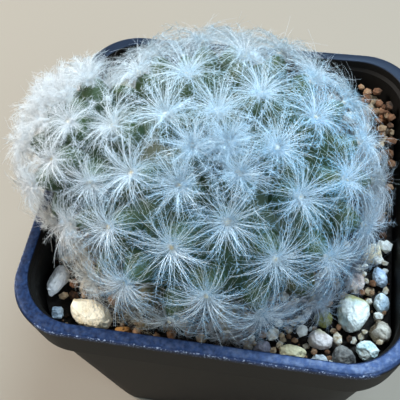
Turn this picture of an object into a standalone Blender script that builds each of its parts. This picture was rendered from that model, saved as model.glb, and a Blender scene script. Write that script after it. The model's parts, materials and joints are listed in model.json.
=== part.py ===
"""A feather cactus of two grown-together heads in a square nursery pot, on soil dressed with pebbles.

Lengths are in metres. The origin is the middle of the pot's base on the ground, +Z is up, -Y is the front.
Everything else is worked out from the driving dimensions below.
"""

import math
import random

import bmesh
import bpy
from mathutils import Matrix, Vector, noise

# Fit between touching pieces
GAP = 0.0003

# Pot
POT_HEIGHT = 0.066
RIM_HALF = 0.0375  # half the width over the rim
RIM_CORNER = 0.0115  # radius of the rim's outer corners
CORNER_STEPS = 5
EDGE = 0.0006  # rounding of the rim's and base's edges
COLLAR_HALF = 0.0370  # at the collar's lower edge
COLLAR_HEIGHT = 0.0110
WALL_TOP_HALF = 0.0359  # outside of the wall, just under the collar
BASE_HALF = 0.0306
WALL = 0.0012
FLOOR = 0.0016
MOUTH_HALF = 0.0352
LEDGE_DROP = 0.0020  # from the rim down to the ledge inside the mouth
DRAIN_RADIUS = 0.0030
DRAIN_OFFSET = 0.0185  # of each drain hole from the middle, both ways
DRAIN_SIDES = 16
PLASTIC_BLACK = (0.02, 0.025, 0.04)
PLASTIC_ROUGHNESS = 0.45

# Soil
SOIL_DROP = 0.0100  # below the rim
SOIL_TOP = POT_HEIGHT - SOIL_DROP
SOIL_CHAMFER = 0.0010
ROOT_RADIUS = 0.0060
ROOT_TIP_RADIUS = 0.0025
ROOT_DEPTH = 0.0200
ROOT_SIDES = 14
SOIL_BROWN = (0.06, 0.045, 0.035)
SOIL_ROUGHNESS = 0.95

# Tubercles and their sprays of spines
GOLDEN = math.radians(137.508)  # turn from one areole to the next
TUBERCLE_LENGTH = 0.0085
TUBERCLE_ROOT = 0.0047
TUBERCLE_TIP = 0.0023
SPRAY_SIDES = 8
SPRAY_CORE = 0.0010  # radius of the slim core that a spray's spines leave
TIER_HEIGHT = 0.0004
SPRAY_TURN = 0.6 * GOLDEN  # from one spray to the next
SPINE_LENGTH = 0.0064
YOUNG_LENGTH = 0.0038  # of the spines nearest a growing point
TIER_LIFTS = (math.radians(2), math.radians(21))  # of full-grown spines above the skin
TIER_TWIST = math.radians(15)  # of the upper spines from the lower ones
BENDS = (0.0, 0.15, 0.3)  # shares by which a spine may bend out to clear what is beside it
SPINE_SHARES = (1.0, 0.7)  # of its length that a spine beside the pot may keep
SPINE_TESTS = (0.5, 0.7, 0.85, 1.0)  # shares of its length at which a spine has to be clear
YOUNG_LIFTS = (math.radians(20), math.radians(45))
GROWN_ANGLE = 0.75  # angle from the growing point at which sprays are full grown
SKIN_PER_AREOLE = 0.000145  # most skin that an areole holds, in square metres
CORE_SIDES = 20
CORE_RINGS = 12
PLANT_PALE = (0.62, 0.68, 0.62)
PLANT_ROUGHNESS = 0.8

# Pebbles
STONE_SEED = 31
FILL_STONES = 36
FILL_TRIES = 6000
FILL_HALF = (0.0020, 0.0034)  # range of a filling stone's half length
FILL_SLIMNESS = (0.7, 0.95)
STONE_HEIGHT = (0.0034, 0.0044)
STONE_BREAKS = 6
BREAK_DEPTH = (0.70, 0.92)  # range of a break's share of the stone's radius
FLAT_SPOT = 0.80  # share of the radius down to the spot that a stone lies on
STONE_ROUGHNESS = 0.04
STONE_GRAIN = 1.5
STONE_DULLNESS = 0.9
STONE_BED_HALF = 0.0344  # half the width of the space between the walls
STONE_BED_CORNER = 0.0104
PLANT_CLEARANCE = 0.0302  # from the main head's axis out to the stones
NUDGES = 200


class Head:
    """One head of the plant: an ellipsoid of areoles in a spiral round its tilted growing point."""

    def __init__(self, centre, radii, growing_point, start, growth, first, span):
        self.centre = Vector(centre)
        self.radii = Vector(radii)
        self.growing_point = growing_point  # x and y of the unit vector towards it
        self.start = start  # turn of the first areole
        self.growth = growth
        self.first = first
        self.span = span  # angle from the growing point to the last areole

    def inside(self, point):
        """1 on the skin, less inside it."""
        away = point - self.centre
        return Vector((away.x / self.radii.x, away.y / self.radii.y, away.z / self.radii.z)).length


MAIN_HEAD = Head(
    centre=(-0.0021, -0.0027, POT_HEIGHT + 0.0020),
    radii=(0.0302, 0.0302, 0.0242),
    growing_point=(0.071, -0.291),
    start=3.17,
    growth=0.079,
    first=1.912,
    span=2.16,
)
SIDE_HEAD = Head(
    centre=(-0.0219, -0.0032, POT_HEIGHT + 0.0089),
    radii=(0.0170, 0.0170, 0.0152),
    growing_point=(-0.550, 0.153),
    start=5.88,
    growth=0.106,
    first=2.007,
    span=2.3,
)
SPIRAL_POWER = 0.8
MAIN_OVERLAP = 0.93  # areoles of the main head this deep in the side head aren't there
SIDE_OVERLAP = 1.04
SHARED_AREOLE = 13  # the main head's areole that stands up in the join of the heads
AREOLE_SPACING = 0.0075
LOWEST_AREOLE = POT_HEIGHT - 0.0055
OVER_RIM = 0.0040  # height above the rim of areoles that stand out over it
INSIDE_MOUTH = 0.0320
LOWEST_TIP = POT_HEIGHT - 0.0048
TIP_MARGIN = 0.0009
CORE_DEPTH = 0.0056  # of the body's core under the areoles

STONE_COLOURS = {
    "white": (0.78, 0.80, 0.80),
    "cream": (0.80, 0.74, 0.56),
    "pink": (0.72, 0.62, 0.58),
    "grey": (0.22, 0.21, 0.20),
    "brown": (0.34, 0.22, 0.14),
    "olive": (0.30, 0.28, 0.14),
}

# Name, colour, x, y, length, width, height and heading in degrees of each stone that has its own place
PLACED_STONES = (
    ("pumice_block", "white", 0.0276, -0.0238, 0.0080, 0.0066, 0.0068, 75),
    ("stone_blush", "pink", 0.0214, -0.0289, 0.0054, 0.0042, 0.0048, 12),
    ("stone_slate", "grey", 0.0262, -0.0312, 0.0048, 0.0042, 0.0054, 0),
    ("stone_crusty", "brown", 0.0326, -0.0264, 0.0046, 0.0042, 0.0050, 120),
    ("pumice_wedge", "white", 0.0302, -0.0302, 0.0046, 0.0038, 0.0046, -35),
    ("stone_butter", "cream", 0.0165, -0.0322, 0.0056, 0.0034, 0.0044, 0),
    ("pumice_sliver", "white", 0.0216, -0.0328, 0.0038, 0.0026, 0.0034, 5),
    ("pumice_long", "white", 0.0322, -0.0196, 0.0046, 0.0031, 0.0042, 100),
    ("pumice_blue", "white", 0.0318, -0.0144, 0.0046, 0.0029, 0.0040, 110),
    ("stone_lilac", "grey", 0.0108, -0.0322, 0.0036, 0.0032, 0.0036, 0),
    ("stone_moss", "olive", 0.0220, -0.0245, 0.0038, 0.0034, 0.0046, 30),
    ("clay_tan", "brown", 0.0284, 0.0300, 0.0040, 0.0036, 0.0044, 20),
    ("clay_red", "brown", 0.0318, 0.0262, 0.0040, 0.0034, 0.0044, 70),
    ("clay_dark", "brown", 0.0322, 0.0208, 0.0042, 0.0034, 0.0042, 95),
    ("clay_low", "brown", 0.0322, 0.0150, 0.0040, 0.0036, 0.0040, 80),
    ("pumice_egg", "white", -0.0318, -0.0240, 0.0076, 0.0042, 0.0046, 78),
    ("stone_ivory", "cream", -0.0236, -0.0302, 0.0104, 0.0058, 0.0048, -18),
    ("pumice_bead", "white", -0.0300, -0.0306, 0.0031, 0.0029, 0.0032, 0),
    ("clay_chip", "brown", -0.0162, -0.0326, 0.0038, 0.0026, 0.0030, 0),
)


def clear_scene():
    for thing in list(bpy.data.objects):
        bpy.data.objects.remove(thing, do_unlink=True)


def new_collection(name):
    made = bpy.data.collections.new(name)
    bpy.context.scene.collection.children.link(made)
    return made


def finish_mesh(name, bm, collection, material=None):
    """The bmesh as a named object."""
    mesh = bpy.data.meshes.new(name)
    bm.to_mesh(mesh)
    bm.free()
    made = bpy.data.objects.new(name, mesh)
    collection.objects.link(made)
    if material:
        mesh.materials.append(material)
    return made


def surface(name, colour, roughness):
    material = bpy.data.materials.new(name)
    material.use_nodes = True
    shader = material.node_tree.nodes["Principled BSDF"]
    shader.inputs["Base Color"].default_value = (*colour, 1.0)
    shader.inputs["Roughness"].default_value = roughness
    shader.inputs["Metallic"].default_value = 0.0
    material.diffuse_color = (*colour, 1.0)
    return material


def cutter(name, bm, collection, target, operation="DIFFERENCE"):
    tool = finish_mesh(name, bm, collection)
    tool.hide_render = True
    tool.display_type = "WIRE"
    cut = target.modifiers.new(name, "BOOLEAN")
    cut.operation = operation
    cut.object = tool


def rounded_stack(stations):
    """A closed stack of rounded squares: the first two are its foot, and the last one closes it."""
    (foot_half, foot_height), (half, height) = stations[:2]
    bm = bmesh.new()
    bmesh.ops.create_cube(bm, size=1.0)
    bmesh.ops.scale(bm, vec=(2 * half, 2 * half, height - foot_height), verts=bm.verts)
    bmesh.ops.translate(bm, vec=(0, 0, (height + foot_height) / 2), verts=bm.verts)
    corners = [e for e in bm.edges if abs(e.verts[0].co.z - e.verts[1].co.z) > EDGE / 2]
    bmesh.ops.bevel(
        bm, geom=corners, offset=RIM_CORNER * half / RIM_HALF, segments=CORNER_STEPS,
        affect="EDGES", profile=0.5, material=-1,
    )
    foot = min(bm.faces, key=lambda f: f.calc_center_median().z)
    bmesh.ops.scale(bm, vec=(foot_half / half, foot_half / half, 1), verts=foot.verts)
    cap = max(bm.faces, key=lambda f: f.calc_center_median().z)
    for next_half, next_height in stations[2:]:
        cap = bmesh.ops.extrude_discrete_faces(bm, faces=[cap])["faces"][0]
        bmesh.ops.scale(bm, vec=(next_half / half, next_half / half, 1), verts=cap.verts)
        bmesh.ops.translate(bm, vec=(0, 0, next_height - height), verts=cap.verts)
        half, height = next_half, next_height
    return bm


def wall_half(height):
    """Half the pot's width outside at a height under the collar."""
    share = height / (POT_HEIGHT - COLLAR_HEIGHT)
    return BASE_HALF + (WALL_TOP_HALF - BASE_HALF) * share


def pot_stations():
    """Half width and height of each ring, up the outside, over the rim and down the inside."""
    collar_foot = POT_HEIGHT - COLLAR_HEIGHT
    ledge = POT_HEIGHT - LEDGE_DROP
    return (
        (BASE_HALF - EDGE, 0.0),
        (BASE_HALF, EDGE),
        (WALL_TOP_HALF, collar_foot),
        (COLLAR_HALF - EDGE / 2, collar_foot),
        (COLLAR_HALF, collar_foot + EDGE / 2),
        (RIM_HALF, POT_HEIGHT - EDGE),
        (RIM_HALF - EDGE, POT_HEIGHT),
        (MOUTH_HALF + EDGE / 2, POT_HEIGHT),
        (MOUTH_HALF, POT_HEIGHT - EDGE / 2),
        (MOUTH_HALF, ledge),
        (wall_half(collar_foot) - WALL, ledge - EDGE),
        (wall_half(collar_foot) - WALL, collar_foot),
        (wall_half(FLOOR) - WALL, FLOOR),
    )


def pot(parts, cutters):
    plastic = surface("black_plastic", PLASTIC_BLACK, PLASTIC_ROUGHNESS)
    made = finish_mesh("pot", rounded_stack(pot_stations()), parts, plastic)
    for index, (side_x, side_y) in enumerate(((1, 1), (-1, 1), (-1, -1), (1, -1))):
        hole = bmesh.new()
        bmesh.ops.create_cone(
            hole, cap_ends=True, segments=DRAIN_SIDES, radius1=DRAIN_RADIUS, radius2=DRAIN_RADIUS,
            depth=4 * FLOOR,
            matrix=Matrix.Translation((side_x * DRAIN_OFFSET, side_y * DRAIN_OFFSET, 0)),
        )
        cutter(f"drain_cut_{index}", hole, cutters, made)
    return made


def under_main_head(height):
    return Matrix.Translation((MAIN_HEAD.centre.x, MAIN_HEAD.centre.y, height))


def soil(parts, cutters):
    collar_foot = POT_HEIGHT - COLLAR_HEIGHT
    bottom = FLOOR + GAP
    inner = WALL + GAP
    stations = (
        (wall_half(bottom) - inner - SOIL_CHAMFER, bottom),
        (wall_half(bottom) - inner, bottom + SOIL_CHAMFER),
        (wall_half(collar_foot) - inner, collar_foot),
        (wall_half(collar_foot) - inner, SOIL_TOP),
    )
    earth = surface("dark_soil", SOIL_BROWN, SOIL_ROUGHNESS)
    made = finish_mesh("soil", rounded_stack(stations), parts, earth)
    hole = bmesh.new()
    radius = ROOT_RADIUS + 2 * GAP
    bmesh.ops.create_cone(
        hole, cap_ends=True, segments=ROOT_SIDES, radius1=radius, radius2=radius,
        depth=2 * (ROOT_DEPTH + GAP), matrix=under_main_head(SOIL_TOP),
    )
    cutter("root_hole_cut", hole, cutters, made)
    return made


def spiral(head):
    """Number, place, outward direction and angle from the growing point of each areole of a head."""
    lean_x, lean_y = head.growing_point
    axis = Vector((lean_x, lean_y, math.sqrt(1 - lean_x**2 - lean_y**2)))
    tilt = Vector((0, 0, 1)).rotation_difference(axis)
    number = -1
    angle = head.growth * (number + head.first) ** SPIRAL_POWER
    while angle < head.span:
        turn = GOLDEN * number + head.start
        way = Vector((math.sin(angle) * math.cos(turn), math.sin(angle) * math.sin(turn), math.cos(angle)))
        way.rotate(tilt)
        place = head.centre + Vector((way.x * head.radii.x, way.y * head.radii.y, way.z * head.radii.z))
        out = Vector((way.x / head.radii.x, way.y / head.radii.y, way.z / head.radii.z)).normalized()
        yield number, place, out, angle
        next_angle = head.growth * (number + 1 + head.first) ** SPIRAL_POWER
        step = next_angle - head.growth * (number + head.first) ** SPIRAL_POWER
        ring = 2 * math.pi * head.radii.x**2 * math.sin(angle)
        angle += min(step, SKIN_PER_AREOLE / ring) if angle > GROWN_ANGLE else step
        number += 1


def clears_pot(place):
    """Whether an areole's tubercle keeps off the soil and the rim."""
    over_mouth = max(abs(place.x), abs(place.y)) < INSIDE_MOUTH
    return place.z > (LOWEST_AREOLE if over_mouth else POT_HEIGHT + OVER_RIM)


def areoles():
    """The areoles of both heads that stand free of the other head and of the pot."""
    kept = []
    for number, place, out, angle in spiral(MAIN_HEAD):
        free = SIDE_HEAD.inside(place) > MAIN_OVERLAP or number == SHARED_AREOLE
        if free and place.z > LOWEST_AREOLE:
            kept.append((place, out, angle))
    main = [place for place, _, _ in kept]
    for _, place, out, angle in spiral(SIDE_HEAD):
        free = MAIN_HEAD.inside(place) > SIDE_OVERLAP
        apart = min((place - other).length for other in main) > AREOLE_SPACING
        if free and apart and clears_pot(place):
            kept.append((place, out, angle))
    return kept


def spine_is_clear(root, tip):
    """Whether a spine keeps off the stones under it, the wall and the rim."""
    if tip.z < LOWEST_TIP:
        return False
    for share in SPINE_TESTS:
        point = root.lerp(tip, share)
        inside_mouth = max(abs(point.x), abs(point.y)) < MOUTH_HALF - TIP_MARGIN
        if not inside_mouth and point.z < POT_HEIGHT + TIP_MARGIN:
            return False
    return True


def spine_tip(root, way, out, length):
    """Where a spine ends, bent outwards until its tip is clear, or None where there is no room for it."""
    for share in SPINE_SHARES:
        for bend in BENDS:
            tip = root + way.lerp(out, bend).normalized() * length * share
            if spine_is_clear(root, tip):
                return tip
    return None


def tubercle(place, out, angle, turn):
    """A tubercle with its spray: tiers of a slim core, each side of which is drawn out into a spine."""
    bm = bmesh.new()
    bmesh.ops.create_cone(
        bm, cap_ends=True, segments=SPRAY_SIDES, radius1=TUBERCLE_ROOT, radius2=TUBERCLE_TIP,
        depth=TUBERCLE_LENGTH, matrix=Matrix.Translation((0, 0, -TUBERCLE_LENGTH / 2)),
    )
    cap = max(bm.faces, key=lambda f: f.calc_center_median().z)
    cap = bmesh.ops.extrude_discrete_faces(bm, faces=[cap])["faces"][0]
    narrowing = SPRAY_CORE / TUBERCLE_TIP
    bmesh.ops.scale(bm, vec=(narrowing, narrowing, 1), verts=cap.verts)
    bmesh.ops.translate(bm, vec=(0, 0, TIER_HEIGHT), verts=cap.verts)
    tiers = []
    for _ in TIER_LIFTS:
        cap = bmesh.ops.extrude_discrete_faces(bm, faces=[cap])["faces"][0]
        bmesh.ops.translate(bm, vec=(0, 0, TIER_HEIGHT), verts=cap.verts)
        tiers.append([face for edge in cap.edges for face in edge.link_faces if face != cap])
    bmesh.ops.poke(bm, faces=[cap], offset=TIER_HEIGHT)
    frame = Matrix.Translation(place) @ out.to_track_quat("Z", "Y").to_matrix().to_4x4()
    bmesh.ops.transform(bm, matrix=frame @ Matrix.Rotation(turn, 4, "Z"), verts=bm.verts)
    grown = min(1.0, angle / GROWN_ANGLE)
    length = YOUNG_LENGTH + (SPINE_LENGTH - YOUNG_LENGTH) * grown
    for tier, (sides, young, old) in enumerate(zip(tiers, YOUNG_LIFTS, TIER_LIFTS)):
        lift = young + (old - young) * grown
        sideways = Matrix.Rotation(tier * TIER_TWIST, 3, out)
        for side in sides:
            root = side.calc_center_median()
            away = root - place
            away = sideways @ (away - out * away.dot(out)).normalized()
            way = away * math.cos(lift) + out * math.sin(lift)
            tip = spine_tip(root, way, out, length)
            if tip:
                bmesh.ops.poke(bm, faces=[side])["verts"][0].co = tip
    return bm


def body_core(head, underside):
    """The flesh under the tubercles, flat where it rests on the soil."""
    bm = bmesh.new()
    bmesh.ops.create_uvsphere(bm, u_segments=CORE_SIDES, v_segments=CORE_RINGS, radius=1.0)
    inner = head.radii - Vector((CORE_DEPTH,) * 3)
    bmesh.ops.scale(bm, vec=inner, verts=bm.verts)
    bmesh.ops.translate(bm, vec=head.centre, verts=bm.verts)
    for vertex in bm.verts:
        vertex.co.z = max(vertex.co.z, underside)
    return bm


def taproot():
    bm = bmesh.new()
    top = SOIL_TOP + 2 * CORE_DEPTH
    foot = SOIL_TOP - ROOT_DEPTH
    bmesh.ops.create_cone(
        bm, cap_ends=True, segments=ROOT_SIDES, radius1=ROOT_TIP_RADIUS, radius2=ROOT_RADIUS,
        depth=top - foot, matrix=under_main_head((top + foot) / 2),
    )
    return bm


def keep_outer_skin(mesh):
    """Fills what the growth has sealed in and drops loose scraps, by keeping only the largest skin."""
    bm = bmesh.new()
    bm.from_mesh(mesh)
    left = set(bm.faces)
    skins = []
    while left:
        skin = []
        spreading = [left.pop()]
        while spreading:
            face = spreading.pop()
            skin.append(face)
            beside = {other for edge in face.edges for other in edge.link_faces} & left
            left -= beside
            spreading.extend(beside)
        skins.append(skin)
    skins.sort(key=len)
    bmesh.ops.delete(bm, geom=[face for skin in skins[:-1] for face in skin], context="FACES")
    bm.to_mesh(mesh)
    bm.free()


def cactus(parts):
    """Both heads, their tubercles and sprays and the taproot, grown together in one body."""
    skin = surface("feathered_skin", PLANT_PALE, PLANT_ROUGHNESS)
    made = finish_mesh("cactus", body_core(MAIN_HEAD, SOIL_TOP + GAP), parts, skin)
    made.data.shade_smooth()
    growth = new_collection("cactus_growth")
    finish_mesh("side_core", body_core(SIDE_HEAD, SOIL_TOP + GAP), growth)
    finish_mesh("taproot", taproot(), growth)
    for index, (place, out, angle) in enumerate(areoles()):
        finish_mesh(f"tubercle_{index}", tubercle(place, out, angle, index * SPRAY_TURN), growth)
    join = made.modifiers.new("grown_together", "BOOLEAN")
    join.operation = "UNION"
    join.operand_type = "COLLECTION"
    join.collection = growth
    grown = bpy.data.meshes.new_from_object(made.evaluated_get(bpy.context.evaluated_depsgraph_get()))
    keep_outer_skin(grown)
    made.modifiers.clear()
    made.data = grown
    for thing in list(growth.objects):
        bpy.data.objects.remove(thing, do_unlink=True)
    bpy.data.collections.remove(growth)
    return made


class Stone:
    """A pebble's size, heading and place on the soil."""

    def __init__(self, name, colour, x, y, length, width, height, heading):
        self.name = name
        self.colour = colour
        self.place = Vector((x, y))
        self.half_length = length / 2
        self.half_width = width / 2
        self.height = height
        self.heading = heading

    def reach(self, way):
        """How far the stone stands out from its middle in a level direction."""
        turn = math.atan2(way.y, way.x) - self.heading
        return math.hypot(self.half_length * math.cos(turn), self.half_width * math.sin(turn))


def crowding(first, second):
    """The way from one stone to another, and how much nearer they are than they may be."""
    between = second.place - first.place
    way = between.normalized()
    return way, first.reach(way) + second.reach(way) + GAP - between.length


def keep_off_plant(stone):
    away = stone.place - MAIN_HEAD.centre.xy
    missing = PLANT_CLEARANCE + stone.reach(away) - away.length
    if missing > 0:
        stone.place += away.normalized() * missing


def over_wall(stone):
    """The way in from the pot's wall, and how far the stone stands through it."""
    middle = STONE_BED_HALF - STONE_BED_CORNER
    near = Vector([max(-middle, min(middle, value)) for value in stone.place])
    out = stone.place - near
    return -out.normalized(), out.length + stone.reach(out) - STONE_BED_CORNER


def settle(loose):
    """Nudges stones apart, off the plant and in from the wall."""
    for _ in range(NUDGES):
        for index, first in enumerate(loose):
            for second in loose[index + 1 :]:
                way, missing = crowding(first, second)
                first.place -= way * max(0, missing) / 2
                second.place += way * max(0, missing) / 2
        for stone in loose:
            keep_off_plant(stone)
            way, through = over_wall(stone)
            stone.place += way * max(0, through)


def fill_stones(placed, rng):
    """More stones at random, each where there is room for it."""
    added = []
    names = list(STONE_COLOURS)
    for _ in range(FILL_TRIES):
        if len(added) == FILL_STONES:
            break
        length = 2 * rng.uniform(*FILL_HALF)
        width = length * rng.uniform(*FILL_SLIMNESS)
        place = [rng.uniform(-1, 1) * (STONE_BED_HALF - length / 2) for _ in range(2)]
        name = f"pebble_{len(added) + 1:02d}"
        height = rng.uniform(*STONE_HEIGHT)
        stone = Stone(name, rng.choice(names), *place, length, width, height, rng.uniform(0, math.pi))
        keep_off_plant(stone)
        free = over_wall(stone)[1] < 0
        if free and all(crowding(stone, other)[1] < 0 for other in placed + added):
            added.append(stone)
    return added


def stone_mesh(stone, rng):
    """A worn, broken pebble: a ball cut by a few flat breaks and roughened, on a small flat spot."""
    bm = bmesh.new()
    bmesh.ops.create_icosphere(bm, subdivisions=2, radius=1.0)
    breaks = [(Vector((0, 0, -1)), FLAT_SPOT)]
    for _ in range(STONE_BREAKS):
        facing = Vector([rng.gauss(0, 1) for _ in range(3)]).normalized()
        breaks.append((facing, rng.uniform(*BREAK_DEPTH)))
    offset = Vector([rng.uniform(0, 50) for _ in range(3)])
    for vertex in bm.verts:
        vertex.co *= 1 - STONE_ROUGHNESS * (1 - noise.noise(vertex.co * STONE_GRAIN + offset))
        for facing, depth in breaks:
            over = vertex.co.dot(facing) - depth
            if over > 0:
                vertex.co -= facing * over
    bmesh.ops.scale(bm, vec=(stone.half_length, stone.half_width, stone.height / 2), verts=bm.verts)
    bmesh.ops.rotate(bm, matrix=Matrix.Rotation(stone.heading, 3, "Z"), verts=bm.verts)
    lowest = min(vertex.co.z for vertex in bm.verts)
    bmesh.ops.translate(bm, vec=(*stone.place, SOIL_TOP + GAP - lowest), verts=bm.verts)
    return bm


def stones(parts):
    rng = random.Random(STONE_SEED)
    placed = [Stone(*row[:-1], math.radians(row[-1])) for row in PLACED_STONES]
    settle(placed)
    every = placed + fill_stones(placed, rng)
    materials = {}
    for name, colour in STONE_COLOURS.items():
        materials[name] = surface(f"{name}_stone", colour, STONE_DULLNESS)
    for stone in every:
        finish_mesh(stone.name, stone_mesh(stone, rng), parts, materials[stone.colour])


def main():
    clear_scene()
    parts = new_collection("potted_feather_cactus")
    cutters = new_collection("cutters")
    pot(parts, cutters)
    soil(parts, cutters)
    cactus(parts)
    stones(parts)


main()
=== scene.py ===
"""Dresses the potted feather cactus in tubercles and feathery spines, rough stones, and worn plastic with a
painted reflection and highlight on its rim.

Lengths are in metres. The frame's origin is the middle of the pot's base, +Z is up and -Y is the front.
"""

import json
import math
import random

import bmesh
import bpy
from mathutils import Matrix, Vector, noise


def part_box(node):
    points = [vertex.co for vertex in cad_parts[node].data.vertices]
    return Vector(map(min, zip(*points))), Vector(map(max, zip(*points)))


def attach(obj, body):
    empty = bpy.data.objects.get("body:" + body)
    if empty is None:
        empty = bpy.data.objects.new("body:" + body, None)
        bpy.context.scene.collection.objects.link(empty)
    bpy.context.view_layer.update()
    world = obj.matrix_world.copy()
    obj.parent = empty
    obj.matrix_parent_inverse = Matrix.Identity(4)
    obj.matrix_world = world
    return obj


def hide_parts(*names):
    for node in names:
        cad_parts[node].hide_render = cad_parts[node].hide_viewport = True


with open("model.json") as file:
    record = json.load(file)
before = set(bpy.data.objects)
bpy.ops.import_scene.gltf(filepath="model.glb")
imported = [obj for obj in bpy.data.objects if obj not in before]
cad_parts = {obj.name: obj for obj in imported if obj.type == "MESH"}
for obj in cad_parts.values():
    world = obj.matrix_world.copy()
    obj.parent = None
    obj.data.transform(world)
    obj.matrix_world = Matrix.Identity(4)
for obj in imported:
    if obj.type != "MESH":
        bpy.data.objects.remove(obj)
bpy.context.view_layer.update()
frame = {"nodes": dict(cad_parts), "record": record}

SEED = 7
SLOTS = {row["node"]: row["material_slot"] for row in frame["record"]["subparts"]}

# The pot, as in the frame
POT_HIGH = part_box("pot")[1]
POT_HEIGHT = POT_HIGH.z
RIM_HALF = POT_HIGH.x
RIM_CORNER = 0.0115
CORNER_STEPS = 16
COLLAR_HALF = 0.0370
COLLAR_FOOT = POT_HEIGHT - 0.0110
WALL_TOP_HALF = 0.0359
BASE_HALF = 0.0306
WALL = 0.0012
FLOOR = 0.0016
MOUTH_HALF = 0.0352
LEDGE = POT_HEIGHT - 0.0020
EDGE = 0.0006
EDGE_STEPS = 3
RIM_EDGE_STEPS = 4
WEAR_AND_HIGHLIGHT_FROM = -0.00065  # heights from the rim's top between which its outer edge has a painted highlight and wear
WEAR_AND_HIGHLIGHT_TO = -0.00015
DRAIN_RADIUS = 0.0030
DRAIN_OFFSET = 0.0185
DRAIN_SIDES = 32
POT_CREASE = math.radians(35)

# The soil, as in the frame
SOIL_FOOT, SOIL_TOP = (corner.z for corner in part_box("soil"))
SOIL_INSET = 0.0003  # between the soil and the pot's wall
SOIL_CELLS = 72
SOIL_CRUMB = 0.0007
SOIL_LUMPS = 420
SOIL_FRACTAL = (0.8, 2.2, 4)

# The plant's spirals, as in the frame
GOLDEN = math.radians(137.508)
SPIRAL_POWER = 0.8
GROWN_ANGLE = 0.75
SKIN_PER_AREOLE = 0.000145
MAIN_OVERLAP = 0.93
SIDE_OVERLAP = 1.04
SHARED_AREOLE = 13
AREOLE_SPACING = 0.0075
LOWEST_AREOLE = POT_HEIGHT - 0.0055
OVER_RIM = POT_HEIGHT + 0.0040
INSIDE_MOUTH = 0.0320

# Flesh, with the felt and the wool on it
CORE_DEPTH = 0.0044
CORE_SIDES = 48
CORE_RINGS = 32
TUBERCLE_LENGTH = 0.0105
TUBERCLE_RADIUS = 0.0045
TUBERCLE_SIDES = 16
TUBERCLE_RINGS = 10
TUBERCLE_NARROWING = 0.55
TUBERCLE_POWER = 1.5
FELT_RADIUS = 0.00034
FELT_SIZES = (0.55, 1.1)
FELT_LUMPS = (0.75, 1.2)
WOOL_RADIUS = 0.0008
WOOL_RISE = 0.00048
WOOL_LUMPS = (0.85, 1.12)
YOUNG_WIDER = 0.5  # how much wider and higher the wool of the youngest areoles is
YOUNG_HIGHER = 0.6

# Feathery spines and plain hairs
SPINE_LENGTH = 0.0096
YOUNG_LENGTH = 0.0062
SIDE_SHARE = 0.74  # length of the smaller head's spines
LENGTH_SHARES = (0.74, 1.04)
SHAFT_ROOT = 0.000044
SHAFT_TIP = 0.000008
SHAFT_STEPS = 5
HAIR_ROOT = 0.000028
HAIR_STEPS = 3
HAIR_SHADE_SHARE = 0.25  # share of the barbs' painted shade in a hair
PLUMES = 16  # different spines to pick from
BARBS = 34
BARBS_FROM = 0.10  # share of the shaft below the first barb
BARBS_SPAN = 0.88
BARB_LENGTH = 0.0020
BARB_AT_ROOT = 1.1
BARB_TAPER = 0.6
BARB_LENGTHS = (0.7, 1.15)
BARB_RADIUS = 0.000034
BARB_SWIRL = 0.9
BARB_LEAN = (24, 60)  # degrees from the shaft
CROSS_LEAN = (60, 100)  # the same of the barbs that cross other spines
CROSS_THINNER = 0.65
# share of painted shade on a barb: small near the spine's root, rising along it
BARB_SHADE_ROOT = 0.1
BARB_SHADE_RISE = 1.6

# Sprays, with angles in degrees
SPRAY_SPINES = 42
SPRAY_HAIRS = 80
AREOLE_RADIUS = 0.00036
TURN_JITTER = 0.35
LIFT = 38  # angle at which a spine leaves, and what youth and the upper row add to it
LIFT_YOUNG = 16
LIFT_UPPER = 22
DROOP = -35  # the same of the angle at which its tip points
DROOP_YOUNG = 65
DROOP_UPPER = 22
PLUME_SCATTER = (7, 24)  # spread of these angles, and of the turn from root to tip
HAIR_SCATTER = (16, 56)
BEND_SHARE = 0.48  # lengths of the two legs of a spine's guide
TIP_SHARE = 0.60
CROWN_FROM = POT_HEIGHT + 0.017
FLANK_FROM = POT_HEIGHT + 0.005

# How far spines keep off the pot, and how much they are raised, in radians, and shortened for it
LOWEST_TIP = POT_HEIGHT - 0.0048
HIGHEST_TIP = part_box("cactus")[1].z + 0.0021
WALL_MARGIN = 0.0007
OVERHANG = 0.0050  # height over the rim from which the larger head's spines may reach over it
TESTED_SHARES = (0.4, 0.7, 1.0)
BENT_CLEAR = ((0.0, 1.0), (0.25, 1.0), (0.4, 0.88), (0.6, 0.76), (0.8, 0.64))

# Dried spines
DRIED_BELOW = POT_HEIGHT + 0.009
DRIED_SPAN = 0.012
AGE_SPREAD = 0.10
LOOSE_DEPTH = 0.0006
LOOSE_SWIRL = 40
LOOSE_AGE = 0.35

# Stones
OWN_CUTS = 6
STONE_CUTS = 3
STONE_CHIPS = 9
STONE_SMOOTHING = 0.5
SAME_PLACE = 1e-7
CHIP_DEPTH = (0.76, 0.94)
STONE_GRAIN = 0.00014
STONE_LUMPS = 900
STONE_FRACTAL = (0.8, 2.1, 4)
STONE_PITS = 0.00030
PIT_CELLS = 1100
PIT_RADIUS = 0.45
CREASE = math.radians(28)

# Base, shade and fleck colours of the stones, by slot
STONE_PAINTS = {
    "white_stone": ((0.80, 0.84, 0.84), (0.52, 0.62, 0.68), (0.90, 0.86, 0.72)),
    "cream_stone": ((0.86, 0.79, 0.60), (0.66, 0.55, 0.36), (0.92, 0.90, 0.82)),
    "pink_stone": ((0.78, 0.68, 0.64), (0.55, 0.42, 0.38), (0.90, 0.86, 0.84)),
    "grey_stone": ((0.16, 0.15, 0.15), (0.07, 0.07, 0.08), (0.48, 0.45, 0.42)),
    "brown_stone": ((0.30, 0.19, 0.11), (0.13, 0.07, 0.04), (0.55, 0.42, 0.28)),
    "olive_stone": ((0.26, 0.24, 0.10), (0.12, 0.11, 0.05), (0.46, 0.42, 0.25)),
}

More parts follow.
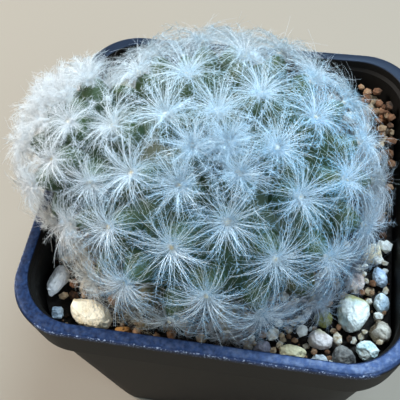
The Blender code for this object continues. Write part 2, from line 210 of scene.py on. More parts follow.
# The same of the stones that can be told apart
OWN_PAINTS = {
    "pumice_block": ((0.84, 0.89, 0.86), (0.50, 0.63, 0.64), (0.66, 0.62, 0.40)),
    "pumice_wedge": ((0.78, 0.88, 0.86), (0.42, 0.60, 0.62), (0.86, 0.86, 0.76)),
    "pumice_sliver": ((0.74, 0.77, 0.79), (0.48, 0.52, 0.55), (0.88, 0.88, 0.84)),
    "pumice_long": ((0.76, 0.85, 0.90), (0.40, 0.52, 0.62), (0.60, 0.50, 0.36)),
    "pumice_blue": ((0.64, 0.76, 0.90), (0.38, 0.50, 0.66), (0.82, 0.86, 0.90)),
    # painted light: raised to pure white to make up for the plant's shadow on it
    "pumice_egg": ((1.0, 1.0, 1.0), (0.92, 0.92, 0.95), (0.60, 0.52, 0.40)),
    "pumice_bead": ((0.56, 0.68, 0.80), (0.38, 0.48, 0.60), (0.80, 0.84, 0.88)),
    "stone_blush": ((0.84, 0.78, 0.77), (0.62, 0.53, 0.50), (0.92, 0.90, 0.88)),
    "stone_slate": ((0.24, 0.235, 0.22), (0.10, 0.10, 0.10), (0.55, 0.52, 0.48)),
    "stone_crusty": ((0.24, 0.185, 0.12), (0.09, 0.06, 0.035), (0.78, 0.73, 0.64)),
    "stone_butter": ((0.88, 0.81, 0.54), (0.78, 0.68, 0.40), (0.94, 0.92, 0.80)),
    "stone_lilac": ((0.26, 0.26, 0.33), (0.15, 0.15, 0.20), (0.46, 0.46, 0.52)),
    "stone_moss": ((0.20, 0.20, 0.07), (0.09, 0.09, 0.035), (0.38, 0.36, 0.18)),
    "stone_ivory": ((0.91, 0.86, 0.70), (0.72, 0.62, 0.42), (0.30, 0.21, 0.12)),
    "clay_tan": ((0.42, 0.33, 0.22), (0.20, 0.13, 0.07), (0.62, 0.52, 0.38)),
    "clay_red": ((0.28, 0.13, 0.07), (0.12, 0.05, 0.03), (0.45, 0.28, 0.18)),
    "clay_dark": ((0.13, 0.09, 0.06), (0.05, 0.03, 0.02), (0.32, 0.24, 0.17)),
    "clay_low": ((0.26, 0.17, 0.10), (0.10, 0.06, 0.04), (0.48, 0.37, 0.26)),
    "clay_chip": ((0.34, 0.18, 0.06), (0.16, 0.08, 0.03), (0.52, 0.36, 0.20)),
    "pebble_09": ((0.30, 0.31, 0.31), (0.20, 0.21, 0.22), (0.42, 0.42, 0.40)),
    "pebble_23": ((0.36, 0.32, 0.25), (0.24, 0.20, 0.15), (0.50, 0.46, 0.38)),
}

# Colours that fade in over one side of a stone: axis, where it starts, where it is full, colour
SIDE_TINTS = {
    "pumice_block": ("Y", -0.0222, -0.0205, (0.46, 0.44, 0.20)),
    "stone_crusty": ("Z", SOIL_TOP + 0.0032, SOIL_TOP + 0.0044, (0.66, 0.62, 0.54)),
    "stone_blush": ("Y", -0.0285, -0.0272, (0.70, 0.66, 0.46)),
}

# Loose grains: piece, slot, how many, radii, spans in x and y, highest middle over the soil, and tones
GRAINS = (
    ("clay_grains", "brown_stone", 80,
     (0.0009, 0.0016), (0.026, 0.035), (0.004, 0.034), 0.0066, (0.0, 0.62)),
    ("pumice_crumbs", "white_stone", 44,
     (0.0008, 0.0017), (0.010, 0.035), (-0.035, -0.006), 0.0036, (0.72, 1.0)),
    ("brown_crumbs", "brown_stone", 200,
     (0.0007, 0.0015), (-0.035, 0.035), (-0.035, -0.004), 0.0034, (0.0, 0.7)),
    ("corner_crumbs", "brown_stone", 170,
     (0.0006, 0.0014), (0.006, 0.035), (-0.035, -0.010), 0.0030, (0.15, 0.95)),
    ("grit", "dark_soil", 1300,
     (0.00022, 0.00055), (-0.035, 0.035), (-0.035, 0.035), 0.0014, (0.0, 0.6)),
)
GRAIN_TRIES = 12
GRAIN_REACH = 0.9  # share of their radii that keeps grains apart
GRAIN_BED_HALF = 0.0343
GRAIN_LUMPS = (0.78, 1.12)
GRAIN_WIDTHS = (0.7, 1.0)
GRAIN_HEIGHTS = (0.6, 0.9)

# Looks of the plastic, with a painted reflection and highlight on the rim's top: noises by scale and detail,
# speckles also by the stretch that is spread
NOISE_ROUGHNESS = 0.6
PLASTIC_ROUGHNESS = 0.4
PLASTIC_GLOSS = 0.45
PLASTIC_SIDES = ((0.003, 0.0026, 0.0022), (0.008, 0.007, 0.006))
PLASTIC_BLOTCHES = (180, 5)
PLASTIC_GRAIN = (2600, 2)
PLASTIC_BUMP = (0.25, 0.00008)
LEVEL = (0.35, 0.9)
RIM_TOP = (POT_HEIGHT - 0.0012, POT_HEIGHT - 0.0008)
# where the painted reflection on the rim's top grows to the right and dims at the back
RIM_REFLECTION_TO_RIGHT = (-0.032, 0.014)
RIM_REFLECTION_TO_BACK = (-0.012, 0.016)
# painted reflection: the rim's top is coloured navy for the blue sky that the black plastic reflects, in
# streaks, and darker at the back
RIM_TOP_REFLECTION = ((0.003, 0.007, 0.024), (0.013, 0.028, 0.075))
RIM_REFLECTION_STREAKS = (1300, 5, 0.34, 0.66)
RIM_BACK_REFLECTION = (0.010, 0.016, 0.030)
# painted highlight: light blue patches along the rim's outer edge; the scuffs and nicks after it are wear
RIM_EDGE_HIGHLIGHT = (0.040, 0.062, 0.140)
RIM_HIGHLIGHT_PATCHES = (300, 3, 0.35, 0.65, 0.2, 0.9)
RIM_SCUFF = (0.38, 0.45, 0.60)
RIM_NICKS = (2700, 3, 0.56, 0.64)
RIM_ROUGHNESS = (0.65, 0.42)  # of the sides, and of the rim's top
SHEEN_DULL = ((0.05, 0.075, 0.13), (0.40, 0.58, 1.10))  # painted reflection, as the specular tint of the rim's top, at the left and at the right
SHEEN_BRIGHT = ((0.30, 0.36, 0.50), (1.20, 1.45, 2.1))
SHEEN_PATCHES = (900, 8, 0.46, 0.64)
SHEEN_BACK = (0.24, 0.29, 0.37)
SHEEN_SIDES = (0.33, 0.33, 0.33)

# Looks of the soil
DRY_ROUGHNESS = 0.95
SOIL_TONES = ((0.002, 0.0015, 0.001), (0.016, 0.010, 0.007))
SOIL_NOISE = (500, 6)
SOIL_GRAIN = (0.04, 0.028, 0.018)
SOIL_GRAIN_CELLS = 1100
SOIL_GRAIN_RADIUS = 0.25
SOIL_BUMP = (0.8, 0.0004)

# Looks of the flesh
SKIN_ROUGHNESS = 0.55
SKIN_TONES = ((0.005, 0.020, 0.005), (0.014, 0.044, 0.010))
SKIN_MOTTLE = (600, 5)
SKIN_BUMP = (0.3, 0.0002)
SKIN_FLECK = (0.06, 0.11, 0.05)
SKIN_FLECK_CELLS = 2600
SKIN_FLECK_SHARE = 0.4
# painted light: the upper part of each tubercle is a lighter green, for the light on its tip
SKIN_TIP_LIGHT = (0.045, 0.085, 0.022)
SKIN_TIP_LIGHT_SPAN = (0.55, 1.0)
SKIN_CORK = (0.30, 0.21, 0.10)
SKIN_CORK_SPAN = (POT_HEIGHT - 0.004, POT_HEIGHT + 0.006, 1.0, 0.0)
SKIN_CORK_PATCHES = (260, 3, 0.4, 0.65)
FLECK_RADIUS = 0.22

# Looks of the felt and the wool
FELT_TONES = ((0.60, 0.46, 0.24), (0.88, 0.80, 0.58))
FELT_NOISE = (2400, 3)
FELT_FIBRES = (5000, 2)
WOOL_TONES = ((0.60, 0.60, 0.55), (0.84, 0.83, 0.78))
WOOL_NOISE = (1800, 4)
WOOL_FIBRES = (6000, 2)
FIBRE_BUMP = (0.6, 0.0001)

# Looks of the spines, with where their painted light and shade change in x and y
SPINE_ROUGHNESS = 0.55
# where the spines' painted light and shade change
SPINES_TO_LEFT = (-0.008, -0.030)
SPINES_TO_RIGHT = (0.002, 0.016)
SPINES_OUTER_RIGHT = (0.022, 0.029)
SPINES_TO_BACK = (0.004, 0.020)
SPINES_TO_FRONT = (-0.008, -0.028)
SPINES_FRONT_SHADE_SHARE = (-0.030, -0.014, 0.25, 1.0)  # less of the front's painted shade in the left corner
SHAFT_TONES = ((0.80, 0.90, 0.96), (0.94, 0.98, 1.0))
SHAFT_NOISE = (300, 2)
# painted light and shade on the shafts: warm light to the left, cool light to the right, shade at the back
SHAFT_LEFT_WARM_LIGHT = (0.90, 0.89, 0.88)
SHAFT_RIGHT_COOL_LIGHT = (0.86, 0.93, 0.98)
SHAFT_BACK_SHADE = (0.58, 0.62, 0.66)
# painted shade on the barbs, darker than the shafts, with painted warm light to the left, cool light to the
# right and shade at the back and in front
BARB_MIDDLE_SHADE = (0.43, 0.59, 0.70)
BARB_LEFT_LIGHT = (0.62, 0.64, 0.65)
BARB_RIGHT_COOL_LIGHT = (0.28, 0.55, 0.76)
BARB_OUTER_RIGHT_PAINTED = (0.34, 0.43, 0.52)
BARB_BACK_SHADE = (0.30, 0.37, 0.40)
BARB_FRONT_SHADE = (0.13, 0.28, 0.41)
DRIED_NOISE = (500, 3)
DRIED_CREAM = ((0.10, 0.09, 0.06), (0.31, 0.285, 0.22))
DRIED_OCHRE = (0.24, 0.175, 0.06)
DRIED_OCHRE_PATCHES = (150, 2, 0.56, 0.68)
# painted light on the dried spines to the left, and a painted cool shade on those in front on the right
DRIED_LEFT_LIGHT = (0.52, 0.465, 0.375)
DRIED_LIGHT_TO_LEFT = (-0.012, -0.022)
DRIED_COOL_SHADE = ((0.095, 0.115, 0.145), (0.29, 0.32, 0.38))
COOL_SHADE_TO_RIGHT = (-0.012, 0.012)
COOL_SHADE_TO_FRONT = (0.006, -0.010)

# Looks of the stones and the loose grains
STONE_GLOSS = 0.12
STONE_PATCHES = (330, 5, 0.46, 0.62)
STONE_FLECK_CELLS = 1500
STONE_FLECKED = (700, 2, 0.50, 0.60)
SIDE_TINT_NOISE = (500, 4)
STONE_PORES = 2000
STONE_NOISE = (2600, 4)
STONE_BUMP = (0.7, 0.00020)
GRAIN_STOPS = (
    (0.0, (0.030, 0.020, 0.014)), (0.25, (0.16, 0.075, 0.040)), (0.5, (0.30, 0.20, 0.12)),
    (0.7, (0.46, 0.37, 0.25)), (0.85, (0.72, 0.72, 0.68)), (1.0, (0.84, 0.86, 0.84)),
)
GRAIN_SPECKLE = (1200, 4, 0.3, 0.7, -0.12, 0.12)
GRAIN_NOISE = (2800, 3)
GRAIN_BUMP = (0.6, 0.0002)

# Camera, fitted to the photo's perspective
CAMERA_YAW = 0.2581
CAMERA_PITCH = 1.0116
CAMERA_ROLL = -0.1073
CAMERA_DISTANCE = 0.13070
CAMERA_TARGET = Vector((-0.00511, -0.00605, POT_HEIGHT))
SENSOR_WIDTH = 36
FOCAL_PIXELS = 651.31
PHOTO_WIDTH = 400
CLIP_START = 0.01

# Floor and light
FLOOR_HALF = 5.0
FLOOR_GREY = (0.27, 0.232, 0.185)
FLOOR_ROUGHNESS = 0.8
WORLD_COLOUR = (0.80, 0.90, 1.0)
WORLD_STRENGTH = 0.26
LAMPS = (
    ("window", (0.15, 0.22, 0.62), 0.30, 6.0, (0.68, 0.86, 1.0)),
    ("key", (-0.48, 0.06, 0.52), 0.20, 6.0, (1.0, 0.94, 0.87)),
    ("fill", (0.40, -0.30, 0.40), 0.40, 2.0, (0.70, 0.87, 1.0)),
)


def upright(place, way):
    """The transform that brings the origin to a place and +Z to a way."""
    return Matrix.Translation(place) @ way.to_track_quat("Z", "Y").to_matrix().to_4x4()


def rounded(point, half, corner):
    """A point of a square moved so that the square's corners become round."""
    middle = half - corner
    moved = point.copy()
    over_x = (abs(point.x) - middle) / corner
    over_y = (abs(point.y) - middle) / corner
    if over_x > 0 and over_y > 0:
        moved.x = math.copysign(middle + corner * over_x * math.sqrt(1 - over_y**2 / 2), point.x)
        moved.y = math.copysign(middle + corner * over_y * math.sqrt(1 - over_x**2 / 2), point.y)
    return moved


def rounded_distance(point, half, corner):
    """How far a point is outside a rounded square, in plan."""
    over_x = max(0.0, abs(point.x) - (half - corner))
    over_y = max(0.0, abs(point.y) - (half - corner))
    return math.hypot(over_x, over_y) - corner


def shown(name, bm, material, slot, replaced=(), smooth=True):
    """The bmesh as a piece of the object."""
    mesh = bpy.data.meshes.new(name)
    bm.to_mesh(mesh)
    bm.free()
    piece = bpy.data.objects.new(name, mesh)
    bpy.context.scene.collection.objects.link(piece)
    mesh.materials.append(material)
    if smooth:
        mesh.shade_smooth()
    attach(piece, "root")
    if replaced:
        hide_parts(*replaced)
    return piece


class Finish:
    """A material whose nodes are added step by step round a Principled shader."""

    def __init__(self, name, roughness, gloss=0.5):
        self.material = bpy.data.materials.new(name)
        self.material.use_nodes = True
        self.tree = self.material.node_tree
        self.shader = self.tree.nodes["Principled BSDF"]
        self.shader.inputs["Roughness"].default_value = roughness
        self.shader.inputs["Specular IOR Level"].default_value = gloss
        self.place = self.node("ShaderNodeTexCoord").outputs["Object"]

    def node(self, kind, **settings):
        made = self.tree.nodes.new(kind)
        for setting, value in settings.items():
            setattr(made, setting, value)
        return made

    def feed(self, target, value):
        """Links a socket, or sets a plain value."""
        if isinstance(value, bpy.types.NodeSocket):
            self.tree.links.new(value, target)
        else:
            target.default_value = value

    def noise(self, scale, detail):
        made = self.node("ShaderNodeTexNoise")
        self.feed(made.inputs["Vector"], self.place)
        made.inputs["Scale"].default_value = scale
        made.inputs["Detail"].default_value = detail
        made.inputs["Roughness"].default_value = NOISE_ROUGHNESS
        return made.outputs["Fac"]

    def cells(self, scale):
        made = self.node("ShaderNodeTexVoronoi", feature="F1")
        self.feed(made.inputs["Vector"], self.place)
        made.inputs["Scale"].default_value = scale
        return made.outputs["Distance"]

    def attribute(self, name):
        return self.node("ShaderNodeAttribute", attribute_name=name).outputs["Fac"]

    def axis(self, name, vector=None):
        """One coordinate of the place, or of another vector."""
        split = self.node("ShaderNodeSeparateXYZ")
        self.feed(split.inputs[0], vector or self.place)
        return split.outputs[name]

    def spread(self, value, low, high, to_low=0.0, to_high=1.0):
        """A value's stretch from low to high mapped on another stretch, and held at its ends."""
        made = self.node("ShaderNodeMapRange", clamp=True)
        self.feed(made.inputs["Value"], value)
        for socket, number in zip(("From Min", "From Max", "To Min", "To Max"), (low, high, to_low, to_high)):
            made.inputs[socket].default_value = number
        return made.outputs["Result"]

    def along(self, name, *spans):
        """A coordinate of the place, spread."""
        return self.spread(self.axis(name), *spans)

    def speckle(self, scale, detail, *spans):
        """Noise, spread."""
        return self.spread(self.noise(scale, detail), *spans)

    def dots(self, cells, radius):
        """1 in the middle of each cell, fading to 0 at a radius."""
        return self.spread(cells, 0.0, radius, 1.0, 0.0)

    def maths(self, operation, first, second):
        made = self.node("ShaderNodeMath", operation=operation)
        self.feed(made.inputs[0], first)
        self.feed(made.inputs[1], second)
        return made.outputs[0]

    def blend(self, share, first, second):
        """From the first colour to the second."""
        made = self.node("ShaderNodeMix", data_type="RGBA")
        self.feed(made.inputs["Factor"], share)
        for socket, colour in ((made.inputs[6], first), (made.inputs[7], second)):
            self.feed(socket, colour if isinstance(colour, bpy.types.NodeSocket) else (*colour, 1.0))
        return made.outputs[2]

    def colour(self, value):
        self.feed(self.shader.inputs["Base Color"], value)

    def roughness(self, value):
        self.feed(self.shader.inputs["Roughness"], value)

    def sheen(self, value):
        self.feed(self.shader.inputs["Specular Tint"], value)

    def bump(self, height, strength, distance):
        made = self.node("ShaderNodeBump")
        made.inputs["Strength"].default_value = strength
        made.inputs["Distance"].default_value = distance
        self.feed(made.inputs["Height"], height)
        self.tree.links.new(made.outputs["Normal"], self.shader.inputs["Normal"])


def camera():
    """A camera where the photographer's was."""
    back = Vector((
        math.sin(CAMERA_YAW) * math.cos(CAMERA_PITCH),
        -math.cos(CAMERA_YAW) * math.cos(CAMERA_PITCH),
        math.sin(CAMERA_PITCH),
    ))
    right = Vector((0, 0, 1)).cross(back).normalized()
    up = back.cross(right)
    across = math.cos(CAMERA_ROLL) * right + math.sin(CAMERA_ROLL) * up
    over = -math.sin(CAMERA_ROLL) * right + math.cos(CAMERA_ROLL) * up
    lens = bpy.data.cameras.new("camera")
    lens.sensor_width = SENSOR_WIDTH
    lens.lens = SENSOR_WIDTH * FOCAL_PIXELS / PHOTO_WIDTH
    lens.clip_start = CLIP_START
    holder = bpy.data.objects.new("camera", lens)
    holder.matrix_world = Matrix((across, over, back)).transposed().to_4x4()
    holder.location = CAMERA_TARGET + back * CAMERA_DISTANCE
    bpy.context.scene.collection.objects.link(holder)
    bpy.context.scene.camera = holder


def studio():
    """Pale floor and soft light."""
    ground = bmesh.new()
    bmesh.ops.create_grid(ground, x_segments=1, y_segments=1, size=FLOOR_HALF)
    mesh = bpy.data.meshes.new("floor")
    ground.to_mesh(mesh)
    ground.free()
    floor = bpy.data.objects.new("floor", mesh)
    bpy.context.scene.collection.objects.link(floor)
    paper = Finish("pale_floor", FLOOR_ROUGHNESS)
    paper.colour((*FLOOR_GREY, 1.0))
    mesh.materials.append(paper.material)

    world = bpy.data.worlds.new("studio")
    world.use_nodes = True
    bpy.context.scene.view_settings.view_transform = "Standard"
    sky = world.node_tree.nodes["Background"]
    sky.inputs["Color"].default_value = (*WORLD_COLOUR, 1.0)
    sky.inputs["Strength"].default_value = WORLD_STRENGTH
    bpy.context.scene.world = world
    for name, place, size, power, colour in LAMPS:
        light = bpy.data.lights.new(name, "AREA")
        light.shape = "DISK"
        light.size = size
        light.energy = power
        light.color = colour
        lamp = bpy.data.objects.new(name, light)
        lamp.location = place
        towards_pot = Vector((0, 0, POT_HEIGHT)) - Vector(place)
        lamp.rotation_euler = towards_pot.to_track_quat("-Z", "Y").to_euler()
        bpy.context.scene.collection.objects.link(lamp)


def rounded_stack(stations):
    """A closed stack of rounded squares: the first two are its foot, and the last one closes it."""
    (foot_half, foot_height), (half, height) = stations[:2]
    bm = bmesh.new()
    bmesh.ops.create_cube(bm, size=1.0)
    bmesh.ops.scale(bm, vec=(2 * half, 2 * half, height - foot_height), verts=bm.verts)
    bmesh.ops.translate(bm, vec=(0, 0, (height + foot_height) / 2), verts=bm.verts)
    corners = [edge for edge in bm.edges if edge.verts[0].co.z != edge.verts[1].co.z]
    bmesh.ops.bevel(
        bm, geom=corners, offset=RIM_CORNER * half / RIM_HALF, segments=CORNER_STEPS,
        affect="EDGES", profile=0.5, material=-1,
    )
    foot = min(bm.faces, key=lambda face: face.calc_center_median().z)
    bmesh.ops.scale(bm, vec=(foot_half / half, foot_half / half, 1), verts=foot.verts)
    cap = max(bm.faces, key=lambda face: face.calc_center_median().z)
    for next_half, next_height in stations[2:]:
        cap = bmesh.ops.extrude_discrete_faces(bm, faces=[cap])["faces"][0]
        bmesh.ops.scale(bm, vec=(next_half / half, next_half / half, 1), verts=cap.verts)
        bmesh.ops.translate(bm, vec=(0, 0, next_height - height), verts=cap.verts)
        half, height = next_half, next_height
    return bm


def wall_half(height):
    return BASE_HALF + (WALL_TOP_HALF - BASE_HALF) * height / COLLAR_FOOT


def black_plastic():
    plastic = Finish("black_plastic", PLASTIC_ROUGHNESS, gloss=PLASTIC_GLOSS)
    # painted reflection on the rim's top, brighter to the right and darker at the back
    painted_light_to_right = plastic.along("X", *RIM_REFLECTION_TO_RIGHT)
    painted_shade_to_back = plastic.along("Y", *RIM_REFLECTION_TO_BACK)
    normal = plastic.node("ShaderNodeNewGeometry").outputs["Normal"]
    level = plastic.spread(plastic.axis("Z", normal), *LEVEL)
    facing_up = plastic.maths("MULTIPLY", level, plastic.along("Z", *RIM_TOP))
    # the rim's outer edge, which carries a painted highlight and real scuffs
    wear_and_highlight_mask = plastic.attribute("wear_and_highlight")
    edge_highlight = plastic.maths("MULTIPLY", wear_and_highlight_mask, plastic.speckle(*RIM_HIGHLIGHT_PATCHES))
    scuffs = plastic.maths("MULTIPLY", wear_and_highlight_mask, plastic.speckle(*RIM_NICKS))
    side = plastic.blend(plastic.noise(*PLASTIC_BLOTCHES), *PLASTIC_SIDES)
    # painted reflection of the sky, in the colour of the rim's top
    painted_reflection = plastic.blend(plastic.speckle(*RIM_REFLECTION_STREAKS), *RIM_TOP_REFLECTION)
    plastic_and_reflection = plastic.blend(facing_up, side, plastic.blend(painted_shade_to_back, painted_reflection, RIM_BACK_REFLECTION))
    # painted highlight along the rim's outer edge
    edge = plastic.blend(edge_highlight, plastic_and_reflection, RIM_EDGE_HIGHLIGHT)
    plastic.colour(plastic.blend(scuffs, edge, RIM_SCUFF))
    plastic.roughness(plastic.spread(facing_up, 0.0, 1.0, *RIM_ROUGHNESS))
    # painted reflection: the rim top's specular tint is raised to the right and in patches, and lowered at
    # the back
    dull = plastic.blend(painted_light_to_right, *SHEEN_DULL)
    bright = plastic.blend(painted_light_to_right, *SHEEN_BRIGHT)
    top = plastic.blend(plastic.speckle(*SHEEN_PATCHES), dull, bright)
    top = plastic.blend(painted_shade_to_back, top, SHEEN_BACK)
    plastic.sheen(plastic.blend(facing_up, SHEEN_SIDES, top))
    plastic.bump(plastic.noise(*PLASTIC_GRAIN), *PLASTIC_BUMP)
    return plastic.material


def quarter_turn(first, steps):
    """Angles of a quarter turn in equal steps, from one of them on."""
    return [math.pi / 2 / steps * step for step in range(first, steps + 1)]


def pot_stations():
    """Half width and height of each ring of the pot, from its base up and down again inside."""
    collar_inside = wall_half(COLLAR_FOOT) - WALL
    stations = [(BASE_HALF - EDGE, 0.0)]
    for turn in quarter_turn(1, EDGE_STEPS):
        stations.append((BASE_HALF - EDGE + EDGE * math.sin(turn), EDGE - EDGE * math.cos(turn)))
    stations += [
        (WALL_TOP_HALF, COLLAR_FOOT),
        (COLLAR_HALF - EDGE / 2, COLLAR_FOOT),
        (COLLAR_HALF, COLLAR_FOOT + EDGE / 2),
        (RIM_HALF - EDGE / 12, POT_HEIGHT - 3 * EDGE),
        (RIM_HALF, POT_HEIGHT - EDGE),
    ]
    for turn in quarter_turn(1, RIM_EDGE_STEPS):
        stations.append((RIM_HALF - EDGE + EDGE * math.cos(turn), POT_HEIGHT - EDGE + EDGE * math.sin(turn)))
    for turn in quarter_turn(0, EDGE_STEPS):
        half = MOUTH_HALF + EDGE / 2 * (1 - math.sin(turn))
        stations.append((half, POT_HEIGHT - EDGE / 2 * (1 - math.cos(turn))))
    stations += [
        (MOUTH_HALF, LEDGE),
        (collar_inside, LEDGE - EDGE),
        (collar_inside, COLLAR_FOOT),
        (wall_half(FLOOR) - WALL, FLOOR),
    ]
    return stations


def drill(x, y):
    """A round cutter for one drain hole."""
    hole = bmesh.new()
    bmesh.ops.create_cone(
        hole, cap_ends=True, segments=DRAIN_SIDES, radius1=DRAIN_RADIUS, radius2=DRAIN_RADIUS,
        depth=4 * FLOOR, matrix=Matrix.Translation((x, y, 0)),
    )
    mesh = bpy.data.meshes.new("drain")
    hole.to_mesh(mesh)
    hole.free()
    cutter = bpy.data.objects.new("drain", mesh)
    bpy.context.scene.collection.objects.link(cutter)
    return cutter


def pot(plastic):
    """The pot again with rounder corners and edges, and with a painted highlight and wear on the rim's outer
    edge.
    """
    bm = rounded_stack(pot_stations())
    wear_and_highlight = bm.verts.layers.float.new("wear_and_highlight")
    # the band of the rim's outer edge that gets a painted highlight and wear
    for vertex in bm.verts:
        outside = max(abs(vertex.co.x), abs(vertex.co.y)) > MOUTH_HALF + 2 * EDGE
        vertex[wear_and_highlight] = 1.0 if outside and WEAR_AND_HIGHLIGHT_FROM < vertex.co.z - POT_HEIGHT < WEAR_AND_HIGHLIGHT_TO else 0.0
    shell = shown("nursery_pot", bm, plastic, "black_plastic", ["pot"])
    cutters = [drill(x, y) for x in (-DRAIN_OFFSET, DRAIN_OFFSET) for y in (-DRAIN_OFFSET, DRAIN_OFFSET)]
    for cutter in cutters:
        shell.modifiers.new("drain", "BOOLEAN").object = cutter
    drilled = bpy.data.meshes.new_from_object(shell.evaluated_get(bpy.context.evaluated_depsgraph_get()))
    shell.modifiers.clear()
    shell.data = drilled
    drilled.set_sharp_from_angle(angle=POT_CREASE)
    for cutter in cutters:
        bpy.data.objects.remove(cutter)


def dark_soil():
    soil = Finish("dark_soil", DRY_ROUGHNESS)
    grain = soil.cells(SOIL_GRAIN_CELLS)
    tone = soil.blend(soil.noise(*SOIL_NOISE), *SOIL_TONES)
    soil.colour(soil.blend(soil.dots(grain, SOIL_GRAIN_RADIUS), tone, SOIL_GRAIN))
    soil.bump(grain, *SOIL_BUMP)
    return soil.material


def potting_mix(material):
    """The soil again, with a crumbly top."""
    top_half = wall_half(COLLAR_FOOT) - WALL - SOIL_INSET
    foot_half = wall_half(SOIL_FOOT) - WALL - SOIL_INSET
    bm = bmesh.new()
    bmesh.ops.create_grid(bm, x_segments=SOIL_CELLS, y_segments=SOIL_CELLS, size=top_half)
    for vertex in bm.verts:
        flat = rounded(vertex.co, top_half, RIM_CORNER - EDGE)
        rise = SOIL_CRUMB * noise.fractal(flat * SOIL_LUMPS, *SOIL_FRACTAL)
        if vertex.is_boundary:
            rise = 0
        vertex.co = Vector((flat.x, flat.y, SOIL_TOP + min(rise, SOIL_CRUMB)))
    rim = [edge for edge in bm.edges if edge.is_boundary]
    for next_half, height in ((top_half, COLLAR_FOOT), (foot_half, SOIL_FOOT)):
        share = next_half / top_half
        grown = bmesh.ops.extrude_edge_only(bm, edges=rim)["geom"]
        rim = [item for item in grown if isinstance(item, bmesh.types.BMEdge)]
        for vertex in {vertex for edge in rim for vertex in edge.verts}:
            vertex.co = Vector((vertex.co.x * share, vertex.co.y * share, height))
    bmesh.ops.contextual_create(bm, geom=rim)
    bmesh.ops.recalc_face_normals(bm, faces=bm.faces)
    shown("potting_mix", bm, material, "dark_soil", ["soil"])


class Head:
    """One head of the plant: an ellipsoid of areoles in a spiral round its tilted growing point."""

    def __init__(self, centre, radii, growing_point, start, growth, first, span):
        self.centre = Vector(centre)
        self.radii = Vector(radii)
        self.start = start
        self.growth = growth
        self.first = first
        self.span = span
        lean_x, lean_y = growing_point
        self.axis = Vector((lean_x, lean_y, math.sqrt(1 - lean_x**2 - lean_y**2)))

    def inside(self, point):
        """1 on the skin, less inside it."""
        away = point - self.centre
        return Vector([a / r for a, r in zip(away, self.radii)]).length

    def skin(self, angle, turn):
        """A place on the skin, by its angle from the growing point, and the way out there."""
        level = Vector((math.cos(turn), math.sin(turn), 0))
        way = Vector((0, 0, 1)) * math.cos(angle) + level * math.sin(angle)
        way.rotate(Vector((0, 0, 1)).rotation_difference(self.axis))
        place = self.centre + Vector([w * r for w, r in zip(way, self.radii)])
        out = Vector([w / r for w, r in zip(way, self.radii)]).normalized()
        return place, out

    def spiral(self):
        """Number, place, outward direction and angle from the growing point of each areole."""
        number = -1
        angle = self.growth * (number + self.first) ** SPIRAL_POWER
        while angle < self.span:
            place, out = self.skin(angle, GOLDEN * number + self.start)
            yield number, place, out, angle
            step = self.growth * (number + 1 + self.first) ** SPIRAL_POWER
            step -= self.growth * (number + self.first) ** SPIRAL_POWER
            ring = 2 * math.pi * self.radii.x**2 * math.sin(angle)
            angle += min(step, SKIN_PER_AREOLE / ring) if angle > GROWN_ANGLE else step
            number += 1


MAIN_HEAD = Head(
    centre=(-0.0021, -0.0027, POT_HEIGHT + 0.0020),
    radii=(0.0302, 0.0302, 0.0242),
    growing_point=(0.071, -0.291),
    start=3.17,
    growth=0.079,
    first=1.912,
    span=2.16,
)
SIDE_HEAD = Head(
    centre=(-0.0219, -0.0032, POT_HEIGHT + 0.0089),
    radii=(0.0170, 0.0170, 0.0152),
    growing_point=(-0.550, 0.153),
    start=5.88,
    growth=0.106,
    first=2.007,
    span=2.3,
)

# Loose spines: piece, head, feathery, how many, angles, root heights, lengths, lifts, droops
LOOSE_SPINES = (
    ("young_wool", MAIN_HEAD, True, 170,
     (0.0, 0.40), (0.0, 0.04), (0.0030, 0.0044), (45, 82), (10, 55)),
    ("young_wool_side", SIDE_HEAD, True, 90,
     (0.0, 1.10), (0.0, 0.04), (0.0028, 0.0042), (45, 85), (0, 60)),
    ("dried_spines", MAIN_HEAD, True, 400,
     (0.8, 2.16), (-0.0050, 0.0050), (0.0045, 0.0075), (0, 30), (-45, 0)),
    ("matted_wool", MAIN_HEAD, False, 1900,
     (0.8, 2.16), (-0.0054, 0.0040), (0.0045, 0.0080), (-20, 30), (-60, 0)),
    ("dried_spines_side", SIDE_HEAD, True, 120,
     (0.8, 2.3), (-0.0020, 0.0090), (0.0038, 0.0058), (0, 30), (-45, 0)),
)


class Areole:
    """The felted tip of a tubercle, which its spray of spines leaves."""

    def __init__(self, head, place, out, angle):
        self.head = head
        self.place = place
        self.out = out
        self.grown = min(1.0, angle / GROWN_ANGLE)
        self.young = 1 - self.grown


def areoles():
    kept = []
    for number, place, out, angle in MAIN_HEAD.spiral():
        free = SIDE_HEAD.inside(place) > MAIN_OVERLAP or number == SHARED_AREOLE
        if free and place.z > LOWEST_AREOLE:
            kept.append(Areole(MAIN_HEAD, place, out, angle))
    main = [areole.place for areole in kept]
    for _, place, out, angle in SIDE_HEAD.spiral():
        over_mouth = max(abs(place.x), abs(place.y)) < INSIDE_MOUTH
        clear = place.z > (LOWEST_AREOLE if over_mouth else OVER_RIM)
        apart = min((place - other).length for other in main) > AREOLE_SPACING
        if clear and apart and MAIN_HEAD.inside(place) > SIDE_OVERLAP:
            kept.append(Areole(SIDE_HEAD, place, out, angle))
    return kept


def green_skin():
    skin = Finish("green_skin", SKIN_ROUGHNESS)
    mottle = skin.noise(*SKIN_MOTTLE)
    green = skin.blend(mottle, *SKIN_TONES)
    flecks = skin.dots(skin.cells(SKIN_FLECK_CELLS), FLECK_RADIUS)
    green = skin.blend(skin.maths("MULTIPLY", flecks, SKIN_FLECK_SHARE), green, SKIN_FLECK)
    # painted light on the tubercles' tips
    tip = skin.spread(skin.attribute("tip"), *SKIN_TIP_LIGHT_SPAN)
    green = skin.blend(tip, green, SKIN_TIP_LIGHT)
    corky = skin.maths("MULTIPLY", skin.along("Z", *SKIN_CORK_SPAN), skin.speckle(*SKIN_CORK_PATCHES))
    skin.colour(skin.blend(corky, green, SKIN_CORK))
    skin.bump(mottle, *SKIN_BUMP)
    return skin.material


